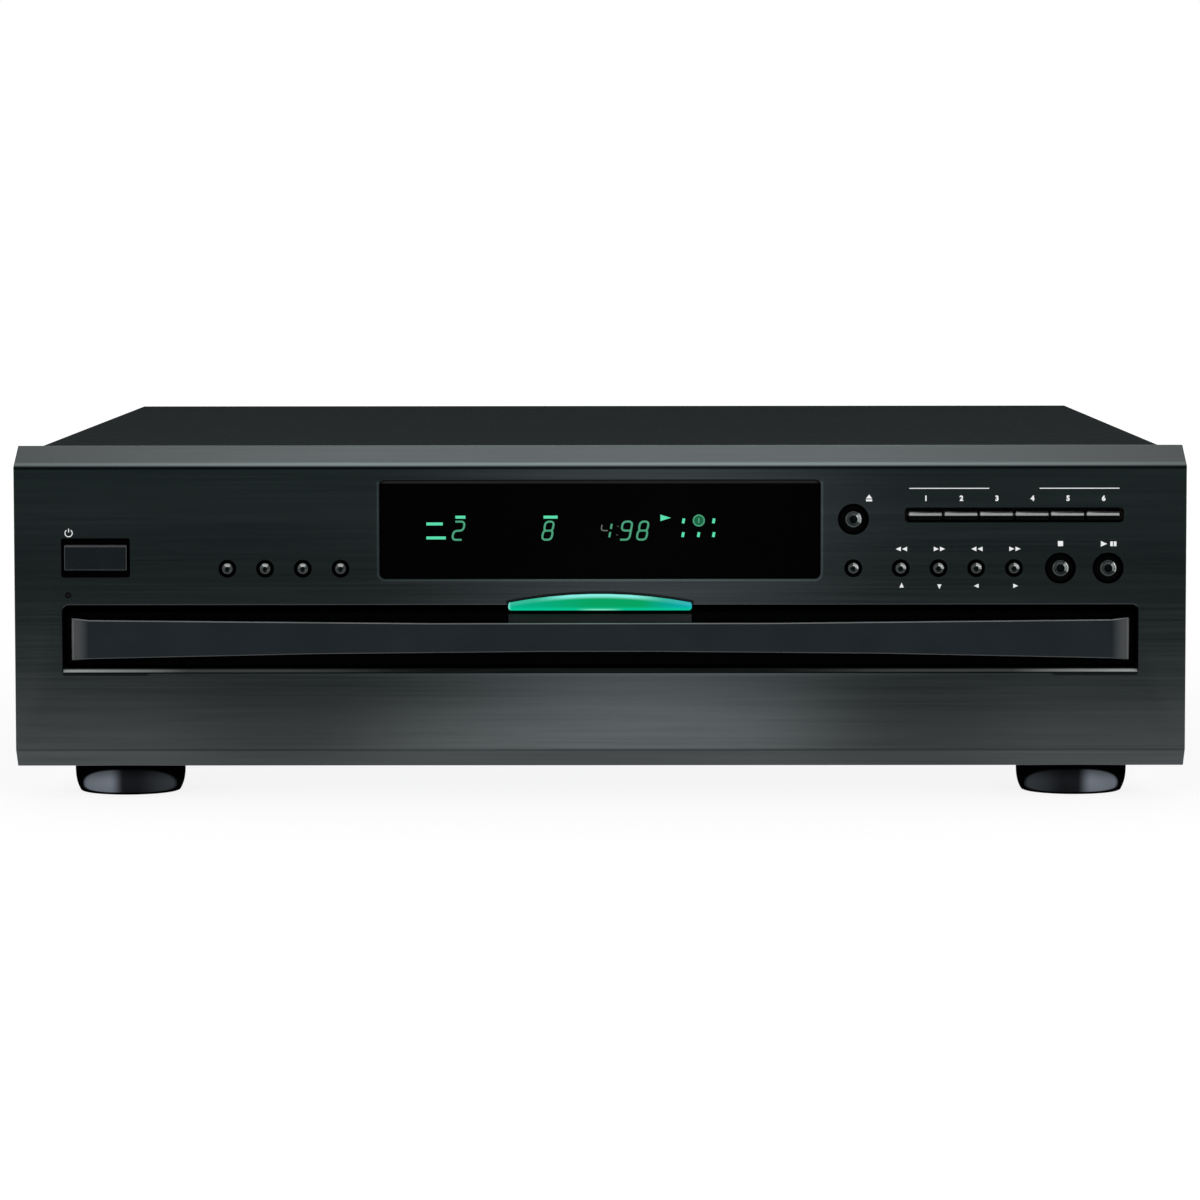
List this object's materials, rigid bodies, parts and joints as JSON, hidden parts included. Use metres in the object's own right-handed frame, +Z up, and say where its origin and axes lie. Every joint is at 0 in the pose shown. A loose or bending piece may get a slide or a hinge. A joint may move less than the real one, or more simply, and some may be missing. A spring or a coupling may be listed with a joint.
{
  "type": "carousel cd changer",
  "caption": "Front-loading carousel disc changer with a sliding tray, display window, push buttons and a lift-and-clamp player mechanism.",
  "frame": {"origin": "on the ground under the middle of the object's box", "axes": "+X to the right seen from the front, +Y to the back, +Z up"},
  "size_m": [0.435, 0.433, 0.131],
  "materials": {
    "panel_black": "black anodised, brushed along its length",
    "cover_black": "satin black paint",
    "zinc_sheet": "zinc-plated sheet",
    "bright_steel": "machined steel",
    "motor_can": "plated motor can",
    "black_screw": "blackened steel",
    "gloss_black": "gloss black",
    "button_black": "gloss black",
    "window_black": "smoked, nearly opaque",
    "light_green": "lit green light guide",
    "tray_black": "fine matt moulding",
    "gear_white": "acetal",
    "gear_dark": "acetal",
    "mechanism_plastic": "moulded chassis plastic",
    "board_green": "circuit board with its parts",
    "board_tan": "circuit board with its parts",
    "coil_iron": "laminated core and winding",
    "belt_rubber": "drive belt",
    "turntable_grey": "turntable with a soft ring",
    "lens_glass": "coated lens",
    "jack_black": "socket body with plated shells"
  },
  "bodies": {
    "case": {"bottom_chassis": "zinc_sheet", "top_cover": "cover_black", "rear_panel": "cover_black", "front_panel": "panel_black", "feet": "gloss_black", "case_screws": "black_screw", "display_window": "window_black", "front_board": "board_tan", "light_bar": "light_green", "clamp_bridge": "zinc_sheet", "tray_rails": "mechanism_plastic", "loading_motor": "motor_can", "loading_belt": "belt_rubber", "mechanism_frame": "mechanism_plastic", "lift_motor": "motor_can", "power_transformer": "coil_iron", "main_board": "board_green", "audio_jacks": "jack_black", "digital_jacks": "jack_black", "cord_gland": "tray_black"},
    "tray_unit": {"tray": "tray_black", "tray_door": "gloss_black", "door_trim": "panel_black", "carousel_axle": "mechanism_plastic", "carousel_motor": "motor_can"},
    "disc_carousel": {"carousel": "tray_black"},
    "idler": {"carousel_idler_gear": "gear_white"},
    "pinion": {"carousel_pinion": "gear_dark"},
    "loading_wheel": {"loading_gear": "gear_white"},
    "loading_drive": {"motor_pulley": "gear_dark"},
    "cam": {"lift_cam": "gear_white"},
    "cam_drive": {"lift_gear": "gear_dark"},
    "pickup": {"pickup_base": "mechanism_plastic", "spindle_motor": "motor_can", "guide_rods": "bright_steel", "sled_motor": "motor_can"},
    "turntable": {"disc_turntable": "turntable_grey"},
    "sled": {"laser_sled": "mechanism_plastic", "pickup_lens": "lens_glass"},
    "sled_drive": {"sled_gear": "gear_white"},
    "puck": {"clamp_puck": "tray_black"},
    "power_button": {"power_button": "button_black"},
    "repeat_button": {"repeat_button": "button_black"},
    "random_button": {"random_button": "button_black"},
    "dimmer_button": {"dimmer_button": "button_black"},
    "display_button": {"display_button": "button_black"},
    "open_close_button": {"open_close_button": "button_black"},
    "disc_skip_button": {"disc_skip_button": "button_black"},
    "track_back_button": {"track_back_button": "button_black"},
    "track_forward_button": {"track_forward_button": "button_black"},
    "search_back_button": {"search_back_button": "button_black"},
    "search_forward_button": {"search_forward_button": "button_black"},
    "stop_button": {"stop_button": "button_black"},
    "play_button": {"play_button": "button_black"},
    "disc_1_button": {"disc_1_button": "button_black"},
    "disc_2_button": {"disc_2_button": "button_black"},
    "disc_3_button": {"disc_3_button": "button_black"},
    "disc_4_button": {"disc_4_button": "button_black"},
    "disc_5_button": {"disc_5_button": "button_black"},
    "disc_6_button": {"disc_6_button": "button_black"}
  },
  "joints": [
    {"name": "tray_slide", "type": "slide", "parent": "case", "child": "tray_unit", "axis": [0, -1, 0], "range_m": [0, 0.207]},
    {"name": "carousel_spin", "type": "hinge", "parent": "tray_unit", "child": "disc_carousel", "pos_m": [0, -0.014, 0.055], "axis": [0, 0, 1], "continuous": true},
    {"name": "idler_spin", "type": "hinge", "parent": "tray_unit", "child": "idler", "pos_m": [-0.03477, -0.02665, 0.06], "axis": [0, 0, 1], "continuous": true},
    {"name": "pinion_spin", "type": "hinge", "parent": "tray_unit", "child": "pinion", "pos_m": [-0.01552, -0.03731, 0.06], "axis": [0, 0, 1], "continuous": true},
    {"name": "loading_gear_spin", "type": "hinge", "parent": "case", "child": "loading_wheel", "pos_m": [-0.178, -0.1835, 0.045], "axis": [0, 0, 1], "range_deg": [-1, 1187.02]},
    {"name": "motor_pulley_spin", "type": "hinge", "parent": "case", "child": "loading_drive", "pos_m": [-0.15, -0.1795, 0.042], "axis": [0, 0, 1], "range_deg": [-1, 3123.39]},
    {"name": "pickup_lift", "type": "slide", "parent": "case", "child": "pickup", "axis": [0, 0, 1], "range_m": [0, 0.0105]},
    {"name": "lift_cam_slide", "type": "slide", "parent": "case", "child": "cam", "axis": [1, 0, 0], "range_m": [0, 0.0181]},
    {"name": "lift_gear_spin", "type": "hinge", "parent": "case", "child": "cam_drive", "pos_m": [0.004, 0.044, 0.031], "axis": [0, 0, 1], "range_deg": [-86.5, 0.5]},
    {"name": "turntable_spin", "type": "hinge", "parent": "pickup", "child": "turntable", "pos_m": [0, 0.109, 0.052], "axis": [0, 0, 1], "continuous": true},
    {"name": "sled_slide", "type": "slide", "parent": "pickup", "child": "sled", "axis": [0, 1, 0], "range_m": [0, 0.035]},
    {"name": "sled_gear_spin", "type": "hinge", "parent": "pickup", "child": "sled_drive", "pos_m": [0.0154, 0.163, 0.043], "axis": [0, 0, 1], "range_deg": [-670, 1]},
    {"name": "clamp_spin", "type": "hinge", "parent": "case", "child": "puck", "pos_m": [0, 0.109, 0.066], "axis": [0, 0, 1], "continuous": true},
    {"name": "power_press", "type": "slide", "parent": "case", "child": "power_button", "axis": [0, 1, 0], "range_m": [0, 0.001], "stiffness_N_per_m": 300, "springref_m": -0.0005},
    {"name": "repeat_press", "type": "slide", "parent": "case", "child": "repeat_button", "axis": [0, 1, 0], "range_m": [0, 0.0008], "stiffness_N_per_m": 300, "springref_m": -0.0005},
    {"name": "random_press", "type": "slide", "parent": "case", "child": "random_button", "axis": [0, 1, 0], "range_m": [0, 0.0008], "stiffness_N_per_m": 300, "springref_m": -0.0005},
    {"name": "dimmer_press", "type": "slide", "parent": "case", "child": "dimmer_button", "axis": [0, 1, 0], "range_m": [0, 0.0008], "stiffness_N_per_m": 300, "springref_m": -0.0005},
    {"name": "display_press", "type": "slide", "parent": "case", "child": "display_button", "axis": [0, 1, 0], "range_m": [0, 0.0008], "stiffness_N_per_m": 300, "springref_m": -0.0005},
    {"name": "open_close_press", "type": "slide", "parent": "case", "child": "open_close_button", "axis": [0, 1, 0], "range_m": [0, 0.0008], "stiffness_N_per_m": 300, "springref_m": -0.0005},
    {"name": "disc_skip_press", "type": "slide", "parent": "case", "child": "disc_skip_button", "axis": [0, 1, 0], "range_m": [0, 0.0008], "stiffness_N_per_m": 300, "springref_m": -0.0005},
    {"name": "track_back_press", "type": "slide", "parent": "case", "child": "track_back_button", "axis": [0, 1, 0], "range_m": [0, 0.0008], "stiffness_N_per_m": 300, "springref_m": -0.0005},
    {"name": "track_forward_press", "type": "slide", "parent": "case", "child": "track_forward_button", "axis": [0, 1, 0], "range_m": [0, 0.0008], "stiffness_N_per_m": 300, "springref_m": -0.0005},
    {"name": "search_back_press", "type": "slide", "parent": "case", "child": "search_back_button", "axis": [0, 1, 0], "range_m": [0, 0.0008], "stiffness_N_per_m": 300, "springref_m": -0.0005},
    {"name": "search_forward_press", "type": "slide", "parent": "case", "child": "search_forward_button", "axis": [0, 1, 0], "range_m": [0, 0.0008], "stiffness_N_per_m": 300, "springref_m": -0.0005},
    {"name": "stop_press", "type": "slide", "parent": "case", "child": "stop_button", "axis": [0, 1, 0], "range_m": [0, 0.0008], "stiffness_N_per_m": 300, "springref_m": -0.0005},
    {"name": "play_press", "type": "slide", "parent": "case", "child": "play_button", "axis": [0, 1, 0], "range_m": [0, 0.0008], "stiffness_N_per_m": 300, "springref_m": -0.0005},
    {"name": "disc_1_press", "type": "slide", "parent": "case", "child": "disc_1_button", "axis": [0, 1, 0], "range_m": [0, 0.0008], "stiffness_N_per_m": 300, "springref_m": -0.0005},
    {"name": "disc_2_press", "type": "slide", "parent": "case", "child": "disc_2_button", "axis": [0, 1, 0], "range_m": [0, 0.0008], "stiffness_N_per_m": 300, "springref_m": -0.0005},
    {"name": "disc_3_press", "type": "slide", "parent": "case", "child": "disc_3_button", "axis": [0, 1, 0], "range_m": [0, 0.0008], "stiffness_N_per_m": 300, "springref_m": -0.0005},
    {"name": "disc_4_press", "type": "slide", "parent": "case", "child": "disc_4_button", "axis": [0, 1, 0], "range_m": [0, 0.0008], "stiffness_N_per_m": 300, "springref_m": -0.0005},
    {"name": "disc_5_press", "type": "slide", "parent": "case", "child": "disc_5_button", "axis": [0, 1, 0], "range_m": [0, 0.0008], "stiffness_N_per_m": 300, "springref_m": -0.0005},
    {"name": "disc_6_press", "type": "slide", "parent": "case", "child": "disc_6_button", "axis": [0, 1, 0], "range_m": [0, 0.0008], "stiffness_N_per_m": 300, "springref_m": -0.0005}
  ],
  "couplings": [
    {"joint": "idler_spin", "follows": "carousel_spin", "ratio": 6.2857},
    {"joint": "pinion_spin", "follows": "carousel_spin", "ratio": -16.762},
    {"joint": "loading_gear_spin", "follows": "tray_slide", "rad_per_m": 100},
    {"joint": "motor_pulley_spin", "follows": "tray_slide", "rad_per_m": 263.27},
    {"joint": "lift_cam_slide", "follows": "pickup_lift", "ratio": 1.7143},
    {"joint": "lift_gear_spin", "follows": "pickup_lift", "rad_per_m": -142.86},
    {"joint": "sled_gear_spin", "follows": "sled_slide", "rad_per_m": -333.33}
  ]
}
